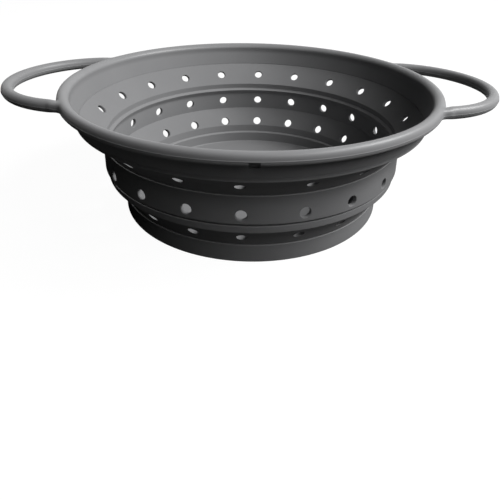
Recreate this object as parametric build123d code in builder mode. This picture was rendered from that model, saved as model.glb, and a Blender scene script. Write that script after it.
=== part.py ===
from build123d import *
import math
import os

# Collapsible colander: a silicone bowl that folds flat in two steps, with a
# steel wire moulded into its rim and handles. Millimetres, +Z up. The origin
# is the middle of the foot on the table, and the handles lie along X.

# Base
base_diameter = 174.6
base_height = 10.6
base_wall_thickness = 2.8
base_chamfer = 0.7
foot_height = 0.9
foot_width = 6.0
foot_edge_radius = 0.6
floor_thickness = 1.7

# Folding wall
hinge_thickness = 1.7
hinge_height = 0.9
lower_web_height = 18.4
lower_web_run = 9.6
lower_web_lip = 5.0
lower_web_lip_run = 1.8
lower_web_shoulder = 4.7
lower_web_shoulder_run = 0.6
lower_web_land = 1.6
band_height = 16.8
band_thickness = 2.7
band_draft = 0.5
band_chamfer = 1.5
band_ridge = 1.2
upper_web_height = 16.4
upper_web_run = 13.5
upper_web_lip = 2.5
upper_web_shoulder = 1.6
upper_web_land = 2.4

# Collar and rim
collar_height = 12.05
collar_run = 6.6
collar_thickness = 2.6
bead_diameter = 7.0
bead_flat_width = 1.2
notch_width = 5.3
notch_depth = 1.2
notch_angle = 270.6

# Handles and the wire inside
handle_reach = 37.7
handle_bend_radius = 52.0
handle_diameter = 6.9
rim_wire_diameter = 3.0
handle_wire_diameter = 2.8
moulding_clearance = 0.1

# Drain holes
hole_diameter = 6.0
floor_hole_pitch = 20.7
cut_overrun = 2.0

# Where each row of holes lies on its wall, from the wall's bottom up
upper_row_share = 0.475
band_row_share = 0.357
lower_row_share = 0.376

# Where the collar meets the bead, inwards and down, of the bead's radius
collar_inner_shares = (0.886, 0.286)
collar_outer_shares = (0.371, 0.914)

# Angles of the holes round the bowl, the same in all three rows, seen from above
row_angles = [357.4, 15.8, 34.0, 51.7, 69.8, 87.45, 105.5, 123.5, 141.8, 160.0,
              177.9, 196.2, 214.5, 232.0, 249.7, 267.0, 286.8, 304.2, 322.2, 340.0]
floor_angle = 87.6

# Heights of the fold lines, added up from the table
base_fold_bottom = base_height
base_fold_top = base_fold_bottom + hinge_height
middle_fold_bottom = base_fold_top + lower_web_height
middle_fold_top = middle_fold_bottom + hinge_height
upper_fold_bottom = middle_fold_top + band_height
upper_fold_top = upper_fold_bottom + hinge_height
rim_fold_bottom = upper_fold_top + upper_web_height
rim_fold_top = rim_fold_bottom + hinge_height
rim_level = rim_fold_top + collar_height

# Radii of the fold lines, added up from the base
base_radius = base_diameter / 2
base_inner_radius = base_radius - base_wall_thickness
base_fold_radius = base_radius - hinge_thickness
middle_fold_radius = base_fold_radius + lower_web_run
band_bottom_radius = middle_fold_radius + band_thickness
band_top_radius = band_bottom_radius - band_draft
upper_fold_radius = band_top_radius - hinge_thickness
neck_radius = upper_fold_radius + upper_web_run
rim_fold_outer_radius = neck_radius + upper_web_land
rim_fold_radius = rim_fold_outer_radius - hinge_thickness
bead_radius = bead_diameter / 2
bead_ring_radius = rim_fold_radius + collar_run
rim_radius = bead_ring_radius + bead_radius
hole_radius = hole_diameter / 2

# Handle arc: its middle, and the angle at which it runs into the bead
handle_radius = handle_diameter / 2
handle_centre = rim_radius + handle_reach - handle_radius - handle_bend_radius
crossing_x = (bead_ring_radius**2 - handle_bend_radius**2 + handle_centre**2) / (2 * handle_centre)
handle_half_angle = math.degrees(math.acos((crossing_x - handle_centre) / handle_bend_radius))


def row_planes(radius, height, out, down):
    """Planes of one row of holes, each facing out of the wall."""
    planes = []
    for angle in row_angles:
        turn = math.radians(angle)
        across = (math.cos(turn), math.sin(turn))
        place = (radius * across[0], radius * across[1], height)
        facing = (out * across[0], out * across[1], -down)
        planes.append(Plane(origin=place, z_dir=facing))
    return planes


def slope_row(bottom_inner, bottom_outer, top_inner, top_outer, share):
    """Planes of a row in the middle of a sloping wall, given its four corners."""
    low = ((bottom_inner[0] + bottom_outer[0]) / 2, (bottom_inner[1] + bottom_outer[1]) / 2)
    high = ((top_inner[0] + top_outer[0]) / 2, (top_inner[1] + top_outer[1]) / 2)
    run = high[0] - low[0]
    rise = high[1] - low[1]
    slope = math.hypot(run, rise)
    return row_planes(low[0] + share * run, low[1] + share * rise, rise / slope, run / slope)


# Foot ring: the flat ring that the bowl stands on
with BuildPart() as foot_ring:
    with BuildSketch(Plane.XZ):
        with BuildLine():
            Polyline(
                (base_radius - foot_width, 0),
                (base_radius, 0),
                (base_radius, foot_height),
                (base_radius - foot_width, foot_height),
                close=True,
            )
        make_face()
    revolve(axis=Axis.Z)
    fillet(foot_ring.edges().filter_by(GeomType.CIRCLE).group_by(Axis.Z)[0].sort_by(SortBy.RADIUS)[-1],
           radius=min(foot_edge_radius, foot_height / 2))

# Floor plate, with its pattern of drain holes
with BuildPart() as floor_plate:
    with BuildSketch(Plane.XY.offset(foot_height)):
        Circle(base_inner_radius)
        Circle(hole_radius, mode=Mode.SUBTRACT)
        with PolarLocations(floor_hole_pitch, 5, start_angle=floor_angle + 36):
            Circle(hole_radius, mode=Mode.SUBTRACT)
        with PolarLocations(2 * floor_hole_pitch, 10, start_angle=floor_angle + 36):
            Circle(hole_radius, mode=Mode.SUBTRACT)
        # The outer ring has sixteen places, and every fourth is left plain
        for quarter in range(4):
            first_angle = floor_angle + 90 * quarter + 22.5
            with PolarLocations(3 * floor_hole_pitch, 3, start_angle=first_angle,
                                angular_range=45, endpoint=True):
                Circle(hole_radius, mode=Mode.SUBTRACT)
    extrude(amount=floor_thickness)

# Base wall: the low upright ring round the floor
with BuildPart() as base_wall:
    with BuildSketch(Plane.XZ):
        with BuildLine():
            Polyline(
                (base_inner_radius, foot_height),
                (base_radius, foot_height),
                (base_radius, base_fold_bottom),
                (base_fold_radius, base_fold_bottom),
                (base_inner_radius, base_fold_bottom - base_chamfer),
                close=True,
            )
        make_face()
    revolve(axis=Axis.Z)

# Base hinge: the thin ring that the lower web folds on
with BuildPart() as base_hinge:
    with BuildSketch(Plane.XZ):
        with BuildLine():
            Polyline(
                (base_fold_radius, base_fold_bottom),
                (base_radius, base_fold_bottom),
                (base_radius, base_fold_top),
                (base_fold_radius, base_fold_top),
                close=True,
            )
        make_face()
    revolve(axis=Axis.Z)

# Lower web: the slope between the base and the middle band
lower_web_outer_radius = middle_fold_radius + lower_web_land
lower_lip_radius = base_fold_radius + lower_web_lip_run
lower_shoulder_radius = lower_web_outer_radius - lower_web_shoulder_run
lower_slope_bottom = base_fold_top + lower_web_lip
lower_slope_top = middle_fold_bottom - lower_web_shoulder
lower_row = slope_row((lower_lip_radius, lower_slope_bottom), (base_radius, base_fold_top),
                      (middle_fold_radius, middle_fold_bottom), (lower_shoulder_radius, lower_slope_top),
                      lower_row_share)
with BuildPart() as lower_web:
    with BuildSketch(Plane.XZ):
        with BuildLine():
            Polyline(
                (base_fold_radius, base_fold_top),
                (base_radius, base_fold_top),
                (lower_shoulder_radius, lower_slope_top),
                (lower_web_outer_radius, middle_fold_bottom),
                (middle_fold_radius, middle_fold_bottom),
                (lower_lip_radius, lower_slope_bottom),
                close=True,
            )
        make_face()
    revolve(axis=Axis.Z)
    with BuildSketch(*lower_row):
        Circle(hole_radius)
    extrude(amount=hinge_thickness + lower_web_land + cut_overrun, both=True, mode=Mode.SUBTRACT)

# Middle hinge: joins the lower web to the band, set back from the band's outside
with BuildPart() as middle_hinge:
    with BuildSketch(Plane.XZ):
        with BuildLine():
            Polyline(
                (middle_fold_radius, middle_fold_bottom),
                (middle_fold_radius + hinge_thickness, middle_fold_bottom),
                (middle_fold_radius + hinge_thickness, middle_fold_top),
                (middle_fold_radius, middle_fold_top),
                close=True,
            )
        make_face()
    revolve(axis=Axis.Z)

# Middle band: the upright ring between the two webs, with its row of holes
# and a low ridge round the inside of its top
ridge_radius = middle_fold_radius - band_ridge
ridge_level = upper_fold_bottom - band_chamfer
band_row = row_planes(middle_fold_radius + band_thickness / 2,
                      middle_fold_top + band_row_share * band_height, 1, 0)
with BuildPart() as middle_band:
    with BuildSketch(Plane.XZ):
        with BuildLine():
            Polyline(
                (middle_fold_radius, middle_fold_top),
                (band_bottom_radius, middle_fold_top),
                (band_top_radius, upper_fold_bottom),
                (upper_fold_radius, upper_fold_bottom),
                (ridge_radius, ridge_level),
                (middle_fold_radius, ridge_level - band_ridge),
                close=True,
            )
        make_face()
    revolve(axis=Axis.Z)
    with BuildSketch(*band_row):
        Circle(hole_radius)
    extrude(amount=band_thickness / 2 + cut_overrun, both=True, mode=Mode.SUBTRACT)

# Upper hinge: joins the band to the upper web
with BuildPart() as upper_hinge:
    with BuildSketch(Plane.XZ):
        with BuildLine():
            Polyline(
                (upper_fold_radius, upper_fold_bottom),
                (band_top_radius, upper_fold_bottom),
                (band_top_radius, upper_fold_top),
                (upper_fold_radius, upper_fold_top),
                close=True,
            )
        make_face()
    revolve(axis=Axis.Z)

# Upper web: the slope between the middle band and the collar
upper_slope_bottom = upper_fold_top + upper_web_lip
upper_slope_top = rim_fold_bottom - upper_web_shoulder
upper_row = slope_row((upper_fold_radius, upper_slope_bottom), (band_top_radius, upper_fold_top),
                      (neck_radius, rim_fold_bottom), (rim_fold_outer_radius, upper_slope_top),
                      upper_row_share)
with BuildPart() as upper_web:
    with BuildSketch(Plane.XZ):
        with BuildLine():
            Polyline(
                (upper_fold_radius, upper_fold_top),
                (band_top_radius, upper_fold_top),
                (rim_fold_outer_radius, upper_slope_top),
                (rim_fold_outer_radius, rim_fold_bottom),
                (neck_radius, rim_fold_bottom),
                (upper_fold_radius, upper_slope_bottom),
                close=True,
            )
        make_face()
    revolve(axis=Axis.Z)
    with BuildSketch(*upper_row):
        Circle(hole_radius)
    extrude(amount=upper_web_land + cut_overrun, both=True, mode=Mode.SUBTRACT)

# Rim hinge: joins the upper web to the collar
with BuildPart() as rim_hinge:
    with BuildSketch(Plane.XZ):
        with BuildLine():
            Polyline(
                (rim_fold_radius, rim_fold_bottom),
                (rim_fold_outer_radius, rim_fold_bottom),
                (rim_fold_outer_radius, rim_fold_top),
                (rim_fold_radius, rim_fold_top),
                close=True,
            )
        make_face()
    revolve(axis=Axis.Z)

# Collar: the steep wall that hangs from the bead
with BuildPart() as rim_collar:
    with BuildSketch(Plane.XZ):
        with BuildLine():
            Polyline(
                (rim_fold_radius, rim_fold_top),
                (rim_fold_radius + collar_thickness, rim_fold_top),
                (bead_ring_radius - collar_outer_shares[0] * bead_radius,
                 rim_level - collar_outer_shares[1] * bead_radius),
                (bead_ring_radius - collar_inner_shares[0] * bead_radius,
                 rim_level - collar_inner_shares[1] * bead_radius),
                close=True,
            )
        make_face()
        with Locations((bead_ring_radius, rim_level)):
            Circle(bead_radius, mode=Mode.SUBTRACT)
    revolve(axis=Axis.Z)

# Rim bead: the round silicone edge, moulded over the wire, with a narrow flat
# along its underside where the mould parts
bead_flat_angle = math.degrees(math.asin(bead_flat_width / bead_diameter))
wire_channel_radius = rim_wire_diameter / 2 + moulding_clearance
handle_channel_radius = handle_wire_diameter / 2 + moulding_clearance
with BuildPart() as rim_bead:
    with BuildSketch(Plane.XZ):
        with BuildLine():
            edge = CenterArc((bead_ring_radius, rim_level), bead_radius,
                             bead_flat_angle - 90, 360 - 2 * bead_flat_angle)
            Line(edge @ 1, edge @ 0)
        make_face()
        with Locations((bead_ring_radius, rim_level)):
            Circle(wire_channel_radius, mode=Mode.SUBTRACT)
    revolve(axis=Axis.Z)
    # Channels of the handle wires, where they run in to the rim wire
    for side in (1, -1):
        facing = Plane(origin=(side * handle_centre, 0, rim_level), x_dir=(side, 0, 0), z_dir=(0, side, 0))
        start = facing.rotated((0, 0, -side * handle_half_angle))
        with BuildSketch(start):
            with Locations((handle_bend_radius, 0)):
                Circle(handle_channel_radius)
        revolve(axis=Axis((side * handle_centre, 0, rim_level), (0, 0, side)),
                revolution_arc=2 * handle_half_angle, mode=Mode.SUBTRACT)
    # Locating notch in the underside of the bead, at the front
    with BuildSketch(Plane.XY.offset(rim_level - bead_radius)):
        with PolarLocations(bead_ring_radius, 1, start_angle=notch_angle):
            Rectangle(bead_diameter + cut_overrun, notch_width)
    extrude(amount=notch_depth, mode=Mode.SUBTRACT)

# Rim wire: the closed steel ring inside the bead
with BuildPart() as rim_wire:
    with BuildSketch(Plane.XZ):
        with Locations((bead_ring_radius, rim_level)):
            Circle(rim_wire_diameter / 2)
    revolve(axis=Axis.Z)

os.makedirs("parts", exist_ok=True)

# Handles: one bent sleeve on each side, and the steel loop inside it,
# cut to the bead and welded to the rim wire
for side, name in ((1, "right"), (-1, "left")):
    facing = Plane(origin=(side * handle_centre, 0, rim_level), x_dir=(side, 0, 0), z_dir=(0, side, 0))
    start = facing.rotated((0, 0, -side * handle_half_angle))
    bend_axis = Axis((side * handle_centre, 0, rim_level), (0, 0, side))

    with BuildPart() as handle:
        with BuildSketch(start):
            with Locations((handle_bend_radius, 0)):
                Circle(handle_radius)
                Circle(handle_channel_radius, mode=Mode.SUBTRACT)
        revolve(axis=bend_axis, revolution_arc=2 * handle_half_angle)
        with BuildSketch(Plane.XZ):
            with Locations((bead_ring_radius, rim_level)):
                Circle(bead_radius)
        revolve(axis=Axis.Z, mode=Mode.SUBTRACT)

    with BuildPart() as handle_wire:
        with BuildSketch(start):
            with Locations((handle_bend_radius, 0)):
                Circle(handle_wire_diameter / 2)
        revolve(axis=bend_axis, revolution_arc=2 * handle_half_angle)
        with BuildSketch(Plane.XZ):
            with Locations((bead_ring_radius, rim_level)):
                Circle(rim_wire_diameter / 2)
        revolve(axis=Axis.Z, mode=Mode.SUBTRACT)

    handle.part.label = name + "_handle"
    export_step(handle.part, "parts/" + name + "_handle.step")
    handle_wire.part.label = name + "_handle_wire"
    export_step(handle_wire.part, "parts/" + name + "_handle_wire.step")

foot_ring.part.label = "foot_ring"
export_step(foot_ring.part, "parts/foot_ring.step")
floor_plate.part.label = "floor_plate"
export_step(floor_plate.part, "parts/floor_plate.step")
base_wall.part.label = "base_wall"
export_step(base_wall.part, "parts/base_wall.step")
base_hinge.part.label = "base_hinge"
export_step(base_hinge.part, "parts/base_hinge.step")
lower_web.part.label = "lower_web"
export_step(lower_web.part, "parts/lower_web.step")
middle_hinge.part.label = "middle_hinge"
export_step(middle_hinge.part, "parts/middle_hinge.step")
middle_band.part.label = "middle_band"
export_step(middle_band.part, "parts/middle_band.step")
upper_hinge.part.label = "upper_hinge"
export_step(upper_hinge.part, "parts/upper_hinge.step")
upper_web.part.label = "upper_web"
export_step(upper_web.part, "parts/upper_web.step")
rim_hinge.part.label = "rim_hinge"
export_step(rim_hinge.part, "parts/rim_hinge.step")
rim_collar.part.label = "rim_collar"
export_step(rim_collar.part, "parts/rim_collar.step")
rim_bead.part.label = "rim_bead"
export_step(rim_bead.part, "parts/rim_bead.step")
rim_wire.part.label = "rim_wire"
export_step(rim_wire.part, "parts/rim_wire.step")
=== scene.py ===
import math

import bpy
from mathutils import Matrix, Vector


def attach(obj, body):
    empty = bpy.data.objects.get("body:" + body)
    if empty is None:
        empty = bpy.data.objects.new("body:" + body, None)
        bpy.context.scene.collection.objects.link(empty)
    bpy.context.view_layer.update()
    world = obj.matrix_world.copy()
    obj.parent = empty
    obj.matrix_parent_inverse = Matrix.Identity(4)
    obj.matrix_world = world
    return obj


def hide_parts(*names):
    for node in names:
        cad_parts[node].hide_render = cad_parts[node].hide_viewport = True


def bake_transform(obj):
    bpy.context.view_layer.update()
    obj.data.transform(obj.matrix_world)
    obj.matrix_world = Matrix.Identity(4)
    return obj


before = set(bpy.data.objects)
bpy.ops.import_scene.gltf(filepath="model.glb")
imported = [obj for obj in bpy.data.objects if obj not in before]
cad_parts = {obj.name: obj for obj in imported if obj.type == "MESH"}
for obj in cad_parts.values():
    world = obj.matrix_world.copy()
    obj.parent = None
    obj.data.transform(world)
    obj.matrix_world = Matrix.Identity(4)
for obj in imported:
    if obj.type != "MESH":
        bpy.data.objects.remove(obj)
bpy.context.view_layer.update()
bpy.ops.object.select_all(action="DESELECT")
print("frame loaded")

# how finely every piece is worked, with lengths in mm and angles in degrees
meshWork = {
    "spinSteps": 360, "pinSteps": 40, "smoothAngle": 30,
    "outlineMerge": 0.01, "spinMerge": 0.02, "lastMerge": 0.004,
    "arcSteps": 4, "longArcSteps": 12, "longArc": 5, "sideShare": 0.49,
}

# how far each kind of corner is rounded, in mm
roundings = {
    "sharp": 0, "fold": 0.1, "foot": 0.2, "soft": 0.3, "ridge": 0.35, "shoulder": 0.4,
}

# heights of the fold lines in mm, as in the solids
fold = {
    "baseTop": 11.5, "middleBottom": 29.9, "upperTop": 48.5,
    "rimBottom": 64.9, "rimTop": 65.8, "rim": 77.85,
}

# angles of the holes round the bowl in degrees, read one by one
holeAngles = [357.4, 15.8, 34.0, 51.7, 69.8, 87.45, 105.5, 123.5, 141.8, 160.0,
              177.9, 196.2, 214.5, 232.0, 249.7, 267.0, 286.8, 304.2, 322.2, 340.0]


def mm(value):
    return value / 1000


def pickOut(piece):
    # only this piece is selected, and it is the active one
    bpy.ops.object.select_all(action="DESELECT")
    piece.select_set(True)
    bpy.context.view_layer.objects.active = piece


def joinInto(first, others):
    pickOut(first)
    for piece in others:
        piece.select_set(True)
    bpy.ops.object.join()


def finishMesh(piece, angle=meshWork["smoothAngle"]):
    # one clean surface, smooth except at its real edges
    pickOut(piece)
    bpy.ops.object.mode_set(mode="EDIT")
    bpy.ops.mesh.select_all(action="SELECT")
    bpy.ops.mesh.remove_doubles(threshold=mm(meshWork["lastMerge"]))
    bpy.ops.mesh.dissolve_degenerate(threshold=mm(meshWork["lastMerge"]))
    bpy.ops.mesh.select_all(action="DESELECT")
    bpy.ops.object.mode_set(mode="OBJECT")
    bpy.ops.object.shade_smooth_by_angle(angle=math.radians(angle))
    piece.select_set(False)


def applyModifier(piece, kind, **settings):
    pickOut(piece)
    modifier = piece.modifiers.new(kind.title(), kind)
    for name, value in settings.items():
        setattr(modifier, name, value)
    bpy.ops.object.modifier_apply(modifier=modifier.name)
    piece.select_set(False)


def selectWhere(piece, test, kind="VERT"):
    # leaves the piece in edit mode; the test gets a place in mm
    bpy.ops.object.mode_set(mode="EDIT")
    bpy.ops.mesh.select_mode(type=kind)
    bpy.ops.mesh.select_all(action="DESELECT")
    bpy.ops.object.mode_set(mode="OBJECT")
    if kind == "VERT":
        for vertex in piece.data.vertices:
            vertex.select = test(vertex.co * 1000)
    else:
        for face in piece.data.polygons:
            face.select = test(face.center * 1000)
    bpy.ops.object.mode_set(mode="EDIT")


def roundCorners(corners):
    # corners are (radius, height, rounding) in mm, and each rounding becomes an arc of short steps
    points = []
    count = len(corners)
    most = meshWork["sideShare"]
    for index, (radius, height, rounding) in enumerate(corners):
        here = Vector((radius, height))
        if rounding == 0:
            points.append(here)
            continue
        steps = meshWork["longArcSteps"] if rounding > meshWork["longArc"] else meshWork["arcSteps"]
        before = Vector(corners[index - 1][:2]) - here
        after = Vector(corners[(index + 1) % count][:2]) - here
        reach = min(rounding / math.tan(before.angle(after) / 2),
                    before.length * most, after.length * most)
        first = here + before.normalized() * reach
        last = here + after.normalized() * reach
        for step in range(steps + 1):
            share = step / steps
            points.append((1 - share) ** 2 * first + 2 * share * (1 - share) * here
                          + share ** 2 * last)
    return points


def drawOutline(name, points, closed=True):
    # one vertex, pulled along the outline in the XZ plane by extrusion
    bpy.ops.mesh.primitive_plane_add(size=mm(1), location=(0, 0, 0))
    piece = bpy.context.object
    piece.name = name
    piece.data.name = name
    bpy.ops.object.mode_set(mode="EDIT")
    bpy.ops.mesh.select_mode(type="VERT")
    bpy.ops.mesh.select_all(action="SELECT")
    bpy.ops.mesh.merge(type="CENTER")
    path = [Vector((mm(radius), 0, mm(height))) for radius, height in points]
    if closed:
        path.append(path[0])
    bpy.ops.transform.translate(value=path[0])
    for start, end in zip(path, path[1:]):
        bpy.ops.mesh.extrude_vertices_move(TRANSFORM_OT_translate={"value": end - start})
    bpy.ops.mesh.select_all(action="SELECT")
    bpy.ops.mesh.remove_doubles(threshold=mm(meshWork["outlineMerge"]))
    return piece


def spinOutline(piece, steps=meshWork["spinSteps"]):
    bpy.ops.mesh.select_all(action="SELECT")
    bpy.ops.mesh.spin(steps=steps, angle=2 * math.pi, center=(0, 0, 0), axis=(0, 0, 1))
    bpy.ops.mesh.select_all(action="SELECT")
    bpy.ops.mesh.remove_doubles(threshold=mm(meshWork["spinMerge"]))
    bpy.ops.mesh.normals_make_consistent(inside=False)
    bpy.ops.mesh.select_all(action="DESELECT")
    bpy.ops.object.mode_set(mode="OBJECT")


# cutters for the drain holes, in mm; a mouth's rings are (wider, deeper) in shares of its flare,
# and start steeper than the smoothing angle, so the wall round a hole stays flat to the light
pinShape = {
    "mouth": [(1, 0), (0.42, 0.42), (0.12, 0.74), (0, 1)],
    "past": 2, "reach": 4, "rowFlare": 0.38, "floorFlare": 0.3,
}


def makePin(diameter, thickness, flare, tilt=0):
    # opens out softly at both faces of a wall, with its origin at the middle of the inner mouth
    past, reach = pinShape["past"], pinShape["reach"]
    radius = diameter / 2
    wide = radius + flare + past
    mouth = [(radius + flare * wider, flare * deeper) for wider, deeper in pinShape["mouth"]]
    inner = [(0, -reach), (wide, -reach), (wide, -past)] + mouth
    outer = [(around, thickness - depth) for around, depth in reversed(mouth)]
    outer += [(wide, thickness + past), (wide, thickness + reach), (0, thickness + reach)]
    pin = drawOutline("pin", inner + outer, closed=False)
    spinOutline(pin, meshWork["pinSteps"])
    # the faces of a sloping wall lie at a tilt to the hole, so the pin's rings are tilted with them
    slope = Matrix.Identity(4)
    slope[2][0] = math.tan(math.radians(tilt))
    pin.data.transform(slope)
    return pin


def drillHoles(piece, pin, places):
    # places are (point, direction, upwards) in mm, and all pins are cut away in one go
    pins = []
    for point, direction, upwards in places:
        copy = pin.copy()
        copy.data = pin.data.copy()
        bpy.context.collection.objects.link(copy)
        across = direction.cross(upwards).normalized()
        turn = Matrix((across.cross(direction), across, direction)).transposed().to_4x4()
        copy.data.transform(Matrix.Translation(mm(point)) @ turn)
        pins.append(copy)
    bpy.data.objects.remove(pin)
    cutter = pins[0]
    joinInto(cutter, pins[1:])
    applyModifier(piece, "BOOLEAN", operation="DIFFERENCE", solver="EXACT", object=cutter)
    bpy.data.objects.remove(cutter)


def drillRow(piece, row):
    # one row round the bowl, each pin from its inner mouth outwards and down by the row's drop
    pin = makePin(row["diameter"], row["thickness"], pinShape["rowFlare"], row["tilt"])
    drop = math.radians(row["drop"])
    places = []
    for angle in holeAngles:
        turn = math.radians(angle)
        across = Vector((math.cos(turn), math.sin(turn), 0))
        point = across * row["radius"] + Vector((0, 0, row["height"]))
        direction = across * math.cos(drop) + Vector((0, 0, -math.sin(drop)))
        places.append((point, direction, Vector((0, 0, 1))))
    drillHoles(piece, pin, places)


class Socket:
    # a node's output, with Python's own operators for its maths
    def __init__(self, tree, output):
        self.tree = tree
        self.output = output

    def twin(self, name):
        return Socket(self.tree, self.output.node.outputs[name])

    def maths(self, operation, *values):
        return self.tree.add("ShaderNodeMath", {"operation": operation}, dict(enumerate(values)))

    def __add__(self, other):
        return self.maths("ADD", self, other)

    def __radd__(self, other):
        return self.maths("ADD", other, self)

    def __sub__(self, other):
        return self.maths("SUBTRACT", self, other)

    def __rsub__(self, other):
        return self.maths("SUBTRACT", other, self)

    def __mul__(self, other):
        return self.maths("MULTIPLY", self, other)

    def __rmul__(self, other):
        return self.maths("MULTIPLY", other, self)


class NodeTree:
    def __init__(self, owner):
        owner.use_nodes = True
        self.owner = owner
        self.nodes = owner.node_tree.nodes
        self.links = owner.node_tree.links
        self.nodes.clear()

    def add(self, kind, settings=None, values=None, output=0):
        # the settings are set first, then each socket gets its value or its link
        node = self.nodes.new(kind)
        for name, value in (settings or {}).items():
            setattr(node, name, value)
        for name, value in (values or {}).items():
            if isinstance(value, Socket):
                self.links.new(value.output, node.inputs[name])
            else:
                node.inputs[name].default_value = value
        return Socket(self, node.outputs[output]) if len(node.outputs) else None

    def seenRays(self):
        # rays that show the pale background: the camera's, and those off gloss or through glass
        path = self.add("ShaderNodeLightPath", output="Is Camera Ray")
        seen = path.maths("MAXIMUM", path, path.twin("Is Glossy Ray"))
        return path.maths("MAXIMUM", seen, path.twin("Is Transmission Ray"))

    def finish(self, shader, output="ShaderNodeOutputMaterial"):
        self.add(output, values={"Surface": shader})
        return self.owner


# moulded silicone; clouds are its slow changes over a few cm, the grain is the mould's own
siliconeLook = {
    # the rim's colour factor makes the rim paler than the same silicone elsewhere: painted light,
    # standing in for brighter highlights on the bead and handles
    "colour": (0.160, 0.161, 0.164, 1), "paler": (0.184, 0.185, 0.188, 1), "rimPaintedLighter": 1.1,
    "cloudScale": 28.0, "cloudDetail": 4.0, "cloudRoughness": 0.55,
    "grainScale": 2600.0, "grainDetail": 2.0, "grainRoughness": 0.5, "grainHeight": 0.00002,
    "noiseMiddle": 0.5,
    "roughness": 0.5, "cloudInRoughness": 0.10, "grainInRoughness": 0.06,
    "specular": 0.0, "sheen": 0.06, "sheenRoughness": 0.5,
    "polish": 0.42, "cloudInPolish": 0.1, "polishFullAt": 0.55, "polishRoughness": 0.36,
    # rubbed edges: radius, level and reach in mm, then the strength within half the reach
    "edges": [(87.1, 11.35, 0.5, 0.6), (97.2, 48.25, 0.55, 0.85), (96.7, 29.75, 0.5, 0.7),
              (94.3, 46.9, 1.5, 0.25), (85.2, 10.95, 1.1, 0.35), (83.9, 3.0, 0.9, 0.5)],
    "edgeCore": 0.5,
}


def rubUpperSide(tree, place, cloudSwing):
    # hands rub what faces up a little glossy, and not evenly
    look = siliconeLook
    upwards = tree.add("ShaderNodeSeparateXYZ", values={0: place.twin("Normal")}, output="Z")
    rubbed = tree.add("ShaderNodeMapRange", {"interpolation_type": "SMOOTHSTEP"},
                      {0: upwards, 1: 0.0, 2: look["polishFullAt"], 3: 0.0, 4: 1.0})
    return rubbed * (look["polish"] + cloudSwing * look["cloudInPolish"])


def rubStandingEdges(tree, place):
    # washing up rubs the edges that stand out, each a circle round the bowl
    look = siliconeLook
    level = tree.add("ShaderNodeSeparateXYZ", values={0: place}, output="Z")
    flat = tree.add("ShaderNodeVectorMath", {"operation": "MULTIPLY"}, {0: place, 1: (1, 1, 0)})
    radius = tree.add("ShaderNodeVectorMath", {"operation": "LENGTH"}, {0: flat}, output="Value")
    rubbed = None
    for ring, height, reach, strength in look["edges"]:
        across = tree.add("ShaderNodeCombineXYZ",
                          values={0: radius - mm(ring), 1: level - mm(height)})
        away = tree.add("ShaderNodeVectorMath", {"operation": "LENGTH"}, {0: across},
                        output="Value")
        near = tree.add("ShaderNodeMapRange", {"interpolation_type": "SMOOTHSTEP"},
                        {0: away, 1: mm(reach), 2: mm(reach * look["edgeCore"]),
                         3: 0.0, 4: strength})
        rubbed = near if rubbed is None else place.maths("MAXIMUM", rubbed, near)
    return rubbed


def makeSilicone(name, polishedPaintedLighter=False):
    look = siliconeLook
    tree = NodeTree(bpy.data.materials.new(name))
    place = tree.add("ShaderNodeTexCoord", output="Object")
    cloud = tree.add("ShaderNodeTexNoise", values={
        "Vector": place, "Scale": look["cloudScale"], "Detail": look["cloudDetail"],
        "Roughness": look["cloudRoughness"]})
    grain = tree.add("ShaderNodeTexNoise", values={
        "Vector": place, "Scale": look["grainScale"], "Detail": look["grainDetail"],
        "Roughness": look["grainRoughness"]})
    # the rim's copy of the silicone is painted paler, as painted light for its brighter highlights;
    # its real gloss is the coat below
    paintedLift = look["rimPaintedLighter"] if polishedPaintedLighter else 1
    shades = [tuple(part * paintedLift for part in look[key][:3]) + (1,) for key in ("colour", "paler")]
    # a colour mix has its factor at 0, its colours at 6 and 7, and gives its colour at 2
    colour = tree.add("ShaderNodeMix", {"data_type": "RGBA"},
                      {0: cloud, 6: shades[0], 7: shades[1]}, output=2)
    cloudSwing = cloud - look["noiseMiddle"]
    grainSwing = grain - look["noiseMiddle"]
    roughness = (look["roughness"] + cloudSwing * look["cloudInRoughness"]
                 + grainSwing * look["grainInRoughness"])
    bump = tree.add("ShaderNodeBump", values={
        "Strength": 1.0, "Distance": 1.0, "Height": grain * look["grainHeight"]})
    rubbed = rubUpperSide(tree, place, cloudSwing) if polishedPaintedLighter else rubStandingEdges(tree, place)
    shader = tree.add("ShaderNodeBsdfPrincipled", values={
        "Base Color": colour, "Roughness": roughness, "Normal": bump,
        "Specular IOR Level": look["specular"],
        "Sheen Weight": look["sheen"], "Sheen Roughness": look["sheenRoughness"],
        "Coat Weight": rubbed, "Coat Roughness": look["polishRoughness"]})
    return tree.finish(shader)


steelLook = {
    "colour": (0.55, 0.55, 0.56, 1), "roughness": 0.28,
    "grainScale": 900.0, "grainDetail": 3.0, "grainInRoughness": 0.16,
}


def makeSteel(name):
    look = steelLook
    tree = NodeTree(bpy.data.materials.new(name))
    place = tree.add("ShaderNodeTexCoord", output="Object")
    grain = tree.add("ShaderNodeTexNoise", values={
        "Vector": place, "Scale": look["grainScale"], "Detail": look["grainDetail"]})
    shader = tree.add("ShaderNodeBsdfPrincipled", values={
        "Base Color": look["colour"], "Metallic": 1.0,
        "Roughness": look["roughness"] + grain * look["grainInRoughness"]})
    return tree.finish(shader)


silicone = makeSilicone("SoftSilicone")
# the rim's silicone: glossy on its upper side, and painted paler as painted light
rimSilicone = makeSilicone("RimSilicone", polishedPaintedLighter=True)
wireSteel = makeSteel("DrawnWire")


def dress(piece, material):
    piece.data.materials.clear()
    piece.data.materials.append(material)


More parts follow.
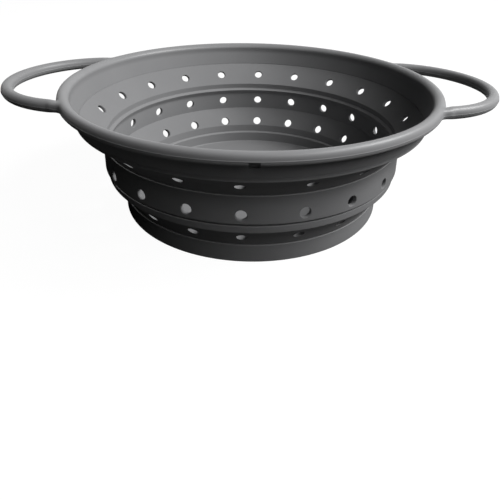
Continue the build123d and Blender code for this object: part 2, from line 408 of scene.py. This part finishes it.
# base: foot, floor and low wall in one piece, in mm
baseShape = {
    "outer": 87.3, "shoulder": 11.25, "neck": 86.7, "inner": 84.5, "ledge": 85.95,
    "ledgeInner": 84.4, "ledgeLevel": 10.45,
    "footInner": 81.3, "footHeight": 0.9, "floorTop": 2.6,
    "footEdge": 0.6, "floorCove": 0.8, "flatEdge": 2.0,
    "holeDiameter": 6.0, "holePitch": 20.7, "firstHole": 89.6,
    # the drain holes: how many pitches from the middle, and at which angles
    "holeRings": [(0, [0]), (1, [36 + 72 * k for k in range(5)]),
                  (2, [36 + 36 * k for k in range(10)]),
                  (3, [22.5 * k for k in range(16) if k % 4])],
}


def makeBase():
    s = baseShape
    outline = roundCorners([
        (0, s["footHeight"], roundings["sharp"]),
        (s["footInner"] - s["flatEdge"], s["footHeight"], roundings["sharp"]),
        (s["footInner"], s["footHeight"], roundings["foot"]),
        (s["footInner"], 0, roundings["soft"]),
        (s["outer"], 0, s["footEdge"]),
        (s["outer"], s["shoulder"], roundings["shoulder"]),
        (s["neck"], fold["baseTop"], roundings["sharp"]),
        (s["ledge"], fold["baseTop"], roundings["fold"]),
        (s["ledgeInner"], s["ledgeLevel"], roundings["soft"]),
        (s["inner"], s["floorTop"], s["floorCove"]),
        (s["inner"] - s["flatEdge"], s["floorTop"], roundings["sharp"]),
        (0, s["floorTop"], roundings["sharp"]),
    ])
    piece = drawOutline("baseShell", outline)
    spinOutline(piece)
    places = []
    for step, angles in s["holeRings"]:
        reach = step * s["holePitch"]
        for angle in angles:
            turn = math.radians(s["firstHole"] + angle)
            point = Vector((reach * math.cos(turn), reach * math.sin(turn), s["footHeight"]))
            places.append((point, Vector((0, 0, 1)), Vector((1, 0, 0))))
    pin = makePin(s["holeDiameter"], s["floorTop"] - s["footHeight"], pinShape["floorFlare"])
    drillHoles(piece, pin, places)
    finishMesh(piece)
    dress(piece, silicone)
    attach(piece, "base")
    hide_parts("base_wall", "foot_ring", "floor_plate", "base_hinge")


makeBase()
print("base made")

# middle band with its two thin fold lines and the ridge inside its top, in mm
bandShape = {
    "inner": 95.2, "outerBottom": 97.9, "outerTop": 97.4, "shoulder": 48.25, "neck": 96.8,
    "groove": 96.2, "grooveTop": 31.55,
    "lip": 95.35, "lipLevel": 47.5, "ridge": 93.3, "ridgeLevel": 46.1,
    "wallTop": 40.4, "hollowLevel": 42.6, "hollow": 6,
    "row": {"radius": 95.2, "height": 36.8, "drop": 0, "tilt": 0, "diameter": 6.0,
            "thickness": 2.53},
}


def makeBand():
    s = bandShape
    outline = roundCorners([
        (s["inner"], fold["middleBottom"], roundings["fold"]),
        (s["groove"], fold["middleBottom"], roundings["fold"]),
        (s["groove"], s["grooveTop"], roundings["fold"]),
        (s["outerBottom"], s["grooveTop"], roundings["ridge"]),
        (s["outerTop"], s["shoulder"], roundings["shoulder"]),
        (s["neck"], fold["upperTop"], roundings["sharp"]),
        (s["lip"], fold["upperTop"], roundings["sharp"]),
        (s["lip"], s["lipLevel"], roundings["fold"]),
        (s["ridge"], s["ridgeLevel"], roundings["ridge"]),
        (s["inner"], s["hollowLevel"], s["hollow"]),
        (s["inner"], s["wallTop"], roundings["sharp"]),
    ])
    piece = drawOutline("bandShell", outline)
    spinOutline(piece)
    drillRow(piece, s["row"])
    finishMesh(piece)
    dress(piece, silicone)
    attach(piece, "middle")
    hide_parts("middle_band", "middle_hinge", "upper_hinge")


makeBand()
print("band made")

# folding webs, a little hollow outside, each with its upright lip at the foot, in mm
lowerWebShape = {
    "bottomInner": 85.95, "bottomOuter": 86.7, "lip": 5.5, "lipRadius": 86.2,
    "topInner": 95.2, "topOuter": 96.8, "shoulder": 4.4, "shoulderRadius": 96.4,
    "hollow": (90.7, 18.9), "sweep": 40,
    "row": {"radius": 88.45, "height": 20.23, "drop": 24, "tilt": 8.5, "diameter": 6.3,
            "thickness": 3.28},
}
upperWebShape = {
    "bottomInner": 95.35, "bottomOuter": 96.8, "lip": 2.65, "lipRadius": 95.2,
    "topInner": 109.1, "topOuter": 111.6, "shoulder": 1.6, "shoulderRadius": 111.6,
    "hollow": (103.5, 56.7), "sweep": 40,
    "row": {"radius": 101.87, "height": 57.72, "drop": 32, "tilt": 12, "diameter": 5.9,
            "thickness": 2.68},
}


def makeWeb(name, shape, bottom, top):
    outline = roundCorners([
        (shape["bottomInner"], bottom, roundings["sharp"]),
        (shape["bottomOuter"], bottom, roundings["sharp"]),
        (*shape["hollow"], shape["sweep"]),
        (shape["shoulderRadius"], top - shape["shoulder"], roundings["shoulder"]),
        (shape["topOuter"], top, roundings["soft"]),
        (shape["topInner"], top, roundings["sharp"]),
        (shape["lipRadius"], bottom + shape["lip"], roundings["soft"]),
    ])
    piece = drawOutline(name, outline)
    spinOutline(piece)
    drillRow(piece, shape["row"])
    finishMesh(piece)
    dress(piece, silicone)
    return piece


lowerWeb = makeWeb("lowerWebWall", lowerWebShape, fold["baseTop"], fold["middleBottom"])
mm(fold["baseTop"])
mm(fold["middleBottom"])
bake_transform(lowerWeb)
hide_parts("lower_web")

upperWeb = makeWeb("upperWebWall", upperWebShape, fold["upperTop"], fold["rimBottom"])
mm(fold["upperTop"])
mm(fold["rimBottom"])
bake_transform(upperWeb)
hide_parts("upper_web")
print("webs made")

# collar under the rim, in mm
collarShape = {
    "bottomInner": 109.75, "bottomOuter": 112.5, "hingeOuter": 112.1, "webInner": 109.1,
    "crease": (109.6, 65.0), "topInner": 113.02, "topOuter": 115.2, "topOuterDrop": 3.2,
    "swing": 3.0, "swingRounding": 7,
}


def makeCollar():
    s = collarShape
    outline = roundCorners([
        (s["webInner"], fold["rimBottom"], roundings["sharp"]),
        (s["hingeOuter"], fold["rimBottom"], roundings["fold"]),
        (s["hingeOuter"], fold["rimTop"], roundings["fold"]),
        (s["bottomOuter"], fold["rimTop"], roundings["soft"]),
        (s["topOuter"], fold["rim"] - s["topOuterDrop"], roundings["sharp"]),
        (s["topInner"], fold["rim"], roundings["sharp"]),
        (s["topInner"], fold["rim"] - s["swing"], s["swingRounding"]),
        (s["bottomInner"], fold["rimTop"], roundings["soft"]),
        (*s["crease"], roundings["sharp"]),
    ])
    piece = drawOutline("collarShell", outline)
    spinOutline(piece)
    finishMesh(piece)
    dress(piece, silicone)
    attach(piece, "rim")
    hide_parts("rim_collar", "rim_hinge")
    return piece


collar = makeCollar()
print("collar made")

# rim bead and the two handles, one soft skin over the wire, in mm and degrees
rimShape = {
    "ring": 116.5, "section": 3.5, "ringSteps": 192, "sides": 8, "levels": 2, "smoothAngle": 50,
    "handleCentre": 102.05, "handleBend": 52.0, "handleSection": 3.65, "handleDrop": 0.2,
    "endAngle": 79.0, "handleSteps": 44,
    # how far the bead and the handles leave a round section
    "fullness": 0.6, "equatorTrim": 0.47, "handleTrim": 0.24, "innerFall": 0.7,
    # a point counts as on its level, or at its middle, when it is this near
    "beadMiddle": 1, "handleLevel": 0.5, "partingLevel": 0.05,
    # where a handle runs in: the ring's faces this near to the root, and this far out, make room
    "rootAngle": 26.5, "rootSpan": 1.02, "rootFrom": 1.9, "rootReach": 20, "rootFlow": 0.6,
    "rootCuts": 1,
    "partingDrop": 0.42, "partingWidth": 0.35, "partingRise": 0.17, "partingSnap": 0.04,
    "partingFrom": 0.2,
    "notchAngle": 270.6, "notchWidth": 5.3, "notchTop": 77.05, "notchBottom": 71.9,
    "notchFrom": 113.7, "notchLength": 8,
}


def radiusOf(place):
    return math.hypot(place.x, place.y)


def shapeBead(ring):
    # the bead is fuller than a circle below outside, and falls a little towards the bowl on top
    s = rimShape
    near = s["beadMiddle"]

    def lowerOuter(place):
        return place.z < -near and radiusOf(place) > s["ring"] + near

    def equator(place):
        return abs(place.z) < near and radiusOf(place) > s["ring"] + near

    def upperInner(place):
        return place.z > near and radiusOf(place) < s["ring"] - near

    selectWhere(ring, lowerOuter)
    wider = 1 + s["fullness"] / s["ring"]
    bpy.ops.transform.resize(value=(wider, wider, 1))
    bpy.ops.object.mode_set(mode="OBJECT")
    selectWhere(ring, equator)
    narrower = 1 - s["equatorTrim"] / s["ring"]
    bpy.ops.transform.resize(value=(narrower, narrower, 1))
    bpy.ops.object.mode_set(mode="OBJECT")
    selectWhere(ring, upperInner)
    bpy.ops.transform.translate(value=(0, 0, -mm(s["innerFall"])))
    bpy.ops.object.mode_set(mode="OBJECT")


def openRoots(ring, roots):
    # take out the faces where the handles run in
    s = rimShape
    near = 360 / s["ringSteps"] * s["rootSpan"]

    def nearRoot(place):
        angle = math.degrees(math.atan2(place.y, place.x))
        outside = radiusOf(place) - s["ring"] > s["rootFrom"]
        return outside and any(abs((angle - root + 180) % 360 - 180) < near for root in roots)

    selectWhere(ring, nearRoot, "FACE")
    bpy.ops.mesh.delete(type="FACE")
    bpy.ops.object.mode_set(mode="OBJECT")


def makeHandle(section, side):
    # one section, a little slimmer at its level, spun round the handle's bend
    s = rimShape
    bend = mm(s["handleBend"])

    def atLevel(place):
        return abs(place.z) < s["handleLevel"]

    bpy.ops.object.select_all(action="DESELECT")
    bpy.ops.mesh.primitive_circle_add(vertices=s["sides"], radius=section,
                                      location=(bend, 0, 0), rotation=(math.pi / 2, 0, 0))
    handle = bpy.context.object
    bpy.ops.object.transform_apply(location=True, rotation=True, scale=True)
    selectWhere(handle, atLevel)
    bpy.ops.transform.resize(value=(1 - s["handleTrim"] / s["handleSection"], 1, 1),
                             center_override=(bend, 0, 0))
    bpy.ops.object.mode_set(mode="OBJECT")
    handle.data.transform(Matrix.Rotation(math.radians(s["endAngle"]), 4, "Z"))
    bpy.ops.object.mode_set(mode="EDIT")
    bpy.ops.mesh.select_all(action="SELECT")
    bpy.ops.mesh.spin(steps=s["handleSteps"], angle=math.radians(2 * s["endAngle"]),
                      center=(0, 0, 0), axis=(0, 0, 1))
    bpy.ops.object.mode_set(mode="OBJECT")
    handle.data.transform(Matrix.Translation((mm(s["handleCentre"]), 0, -mm(s["handleDrop"]))))
    if side == 180:
        handle.data.transform(Matrix.Rotation(math.pi, 4, "Z"))
    return handle


def bridgeRoot(ring, root):
    # from the open place in the ring to the handle's end
    s = rimShape
    angle = math.radians(root)
    centre = Vector((s["ring"] * math.cos(angle), s["ring"] * math.sin(angle), 0))
    bpy.ops.object.mode_set(mode="EDIT")
    bpy.ops.mesh.select_mode(type="EDGE")
    bpy.ops.mesh.select_all(action="DESELECT")
    bpy.ops.mesh.select_non_manifold(extend=False, use_wire=False, use_boundary=True,
                                     use_multi_face=False, use_non_contiguous=False,
                                     use_verts=False)
    bpy.ops.object.mode_set(mode="OBJECT")
    for edge in ring.data.edges:
        if edge.select:
            first, second = (ring.data.vertices[index].co for index in edge.vertices)
            edge.select = ((first + second) / 2 * 1000 - centre).length < s["rootReach"]
    bpy.ops.object.mode_set(mode="EDIT")
    bpy.ops.mesh.bridge_edge_loops(number_cuts=s["rootCuts"], smoothness=s["rootFlow"],
                                   interpolation="PATH")
    bpy.ops.object.mode_set(mode="OBJECT")


def raisePartingLine(ring):
    # the fine ridge where the halves of the mould met, outside on the bead and round the handles
    s = rimShape
    level = fold["rim"] - s["partingDrop"]
    pickOut(ring)
    for offset in (-s["partingWidth"], 0, s["partingWidth"]):
        bpy.ops.object.mode_set(mode="EDIT")
        bpy.ops.mesh.select_all(action="SELECT")
        bpy.ops.mesh.bisect(plane_co=(0, 0, mm(level + offset)), plane_no=(0, 0, 1),
                            threshold=mm(s["partingSnap"]))
        bpy.ops.object.mode_set(mode="OBJECT")

    def onLine(place):
        outside = radiusOf(place) > s["ring"] + s["partingFrom"]
        return outside and abs(place.z - level) < s["partingLevel"]

    line = [vertex for vertex in ring.data.vertices if onLine(vertex.co * 1000)]
    pushes = [vertex.normal * mm(s["partingRise"]) for vertex in line]
    for vertex, push in zip(line, pushes):
        vertex.co += push


def cutNotch(*pieces):
    # the small gap in the bead's underside, at the front, which goes on a little into the collar
    s = rimShape
    bpy.ops.object.select_all(action="DESELECT")
    bpy.ops.mesh.primitive_cube_add(size=mm(1), location=(0, 0, 0))
    cutter = bpy.context.object
    size = Matrix.Diagonal((s["notchLength"], s["notchWidth"], s["notchTop"] - s["notchBottom"], 1))
    middle = Matrix.Translation((mm(s["notchFrom"] + s["notchLength"] / 2), 0,
                                 mm((s["notchTop"] + s["notchBottom"]) / 2)))
    turn = Matrix.Rotation(math.radians(s["notchAngle"]), 4, "Z")
    cutter.data.transform(turn @ middle @ size)
    for piece in pieces:
        applyModifier(piece, "BOOLEAN", operation="DIFFERENCE", solver="EXACT", object=cutter)
    bpy.data.objects.remove(cutter)


def makeRim():
    s = rimShape
    # few sides come out round under subdivision, a little smaller than they were
    shrink = (2 + math.cos(2 * math.pi / s["sides"])) / 3
    bpy.ops.mesh.primitive_torus_add(major_segments=s["ringSteps"], minor_segments=s["sides"],
                                     major_radius=mm(s["ring"]),
                                     minor_radius=mm(s["section"] / shrink), location=(0, 0, 0))
    ring = bpy.context.object
    ring.name = "rimSkin"
    ring.data.name = "rimSkin"
    shapeBead(ring)
    roots = [side + turn for side in (0, 180) for turn in (s["rootAngle"], -s["rootAngle"])]
    openRoots(ring, roots)
    handles = [makeHandle(mm(s["handleSection"] / shrink), side) for side in (0, 180)]
    joinInto(ring, handles)
    for root in roots:
        bridgeRoot(ring, root)
    bpy.ops.object.mode_set(mode="EDIT")
    bpy.ops.mesh.select_all(action="SELECT")
    bpy.ops.mesh.normals_make_consistent(inside=False)
    bpy.ops.mesh.select_all(action="DESELECT")
    bpy.ops.object.mode_set(mode="OBJECT")
    ring.data.transform(Matrix.Translation((0, 0, mm(fold["rim"]))))
    applyModifier(ring, "SUBSURF", levels=s["levels"], render_levels=s["levels"])
    raisePartingLine(ring)
    cutNotch(ring, collar)
    finishMesh(ring, s["smoothAngle"])
    finishMesh(collar)
    dress(ring, rimSilicone)
    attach(ring, "rim")
    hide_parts("rim_bead", "right_handle", "left_handle")


makeRim()
print("rim and handles made")

# the wire stays inside, as its own steel
for name in ("rim_wire", "right_handle_wire", "left_handle_wire"):
    dress(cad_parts[name], wireSteel)

# floor and lights, in metres and watts; each lamp is (azimuth, elevation, power, seen in gloss)
studio = {
    "white": (1, 1, 1, 1), "backdrop": 1.0,
    "floorSize": 6.0, "floorColour": 0.06, "floorGlow": 0.965, "worldGlow": 0.0,
    "lampReach": 1.6, "lampSize": 0.7, "lampAim": (0, 0, 0.05),
    "lamps": {
        "keyBox": (4, 45, 31.7, True),
        "frontBox": (-30, 45, 12.7, True),
        "leftBox": (-60, 42, 4.3, True),
        # only lifts the far side out of the dark, without a shine along the near edges
        "backBox": (78, 20, 6.0, False),
    },
}


def makeFloor():
    bpy.ops.object.select_all(action="DESELECT")
    bpy.ops.mesh.primitive_plane_add(size=studio["floorSize"], location=(0, 0, 0))
    floor = bpy.context.object
    floor.name = "studioFloor"
    tree = NodeTree(bpy.data.materials.new("PaleFloor"))
    shade = studio["floorColour"]
    plain = tree.add("ShaderNodeBsdfDiffuse", values={"Color": (shade, shade, shade, 1)})
    glow = tree.add("ShaderNodeEmission",
                    values={"Color": studio["white"], "Strength": studio["floorGlow"]})
    pale = tree.add("ShaderNodeAddShader", values={0: plain, 1: glow})
    shader = tree.add("ShaderNodeMixShader", values={0: tree.seenRays(), 1: plain, 2: pale})
    floor.data.materials.append(tree.finish(shader))


def addSoftbox(name, azimuth, elevation, power, seenInGloss):
    turn, rise = math.radians(azimuth), math.radians(elevation)
    place = Vector((math.cos(turn) * math.cos(rise), math.sin(turn) * math.cos(rise),
                    math.sin(rise)))
    bpy.ops.object.light_add(type="AREA", location=place * studio["lampReach"])
    lamp = bpy.context.object
    lamp.name = name
    lamp.data.shape = "SQUARE"
    lamp.data.size = studio["lampSize"]
    lamp.data.energy = power
    lamp.visible_glossy = seenInGloss
    aim = Vector(studio["lampAim"]) - lamp.location
    lamp.rotation_euler = aim.to_track_quat("-Z", "Y").to_euler()


def makeWorld():
    world = bpy.data.worlds.new("Studio")
    bpy.context.scene.world = world
    tree = NodeTree(world)
    dim = tree.add("ShaderNodeBackground",
                   values={"Color": studio["white"], "Strength": studio["worldGlow"]})
    white = tree.add("ShaderNodeBackground",
                     values={"Color": studio["white"], "Strength": studio["backdrop"]})
    shader = tree.add("ShaderNodeMixShader", values={0: tree.seenRays(), 1: dim, 2: white})
    tree.finish(shader, "ShaderNodeOutputWorld")


makeFloor()
for name, lamp in studio["lamps"].items():
    addSoftbox(name, *lamp)
makeWorld()
bpy.context.scene.view_settings.view_transform = "Standard"

# the photograph's view, fitted to the rim, the fold lines and the rows of holes
cameraView = {
    "place": (0, -0.300489, 0.162471),
    "right": (0.999656, -0.013270, 0.022638),
    "up": (-0.014242, 0.450216, 0.892806),
    "lens": 33.645, "sensor": 36, "nearest": 0.01,
    "shift": (-0.0240, -0.15),
}


def makeCamera():
    bpy.ops.object.camera_add(location=cameraView["place"])
    camera = bpy.context.object
    camera.name = "photoView"
    right = Vector(cameraView["right"]).normalized()
    back = right.cross(Vector(cameraView["up"])).normalized()
    up = back.cross(right)
    camera.rotation_euler = Matrix((right, up, back)).transposed().to_euler()
    camera.data.lens = cameraView["lens"]
    camera.data.sensor_width = cameraView["sensor"]
    camera.data.shift_x, camera.data.shift_y = cameraView["shift"]
    camera.data.clip_start = cameraView["nearest"]
    bpy.context.scene.camera = camera


makeCamera()
print("studio set")
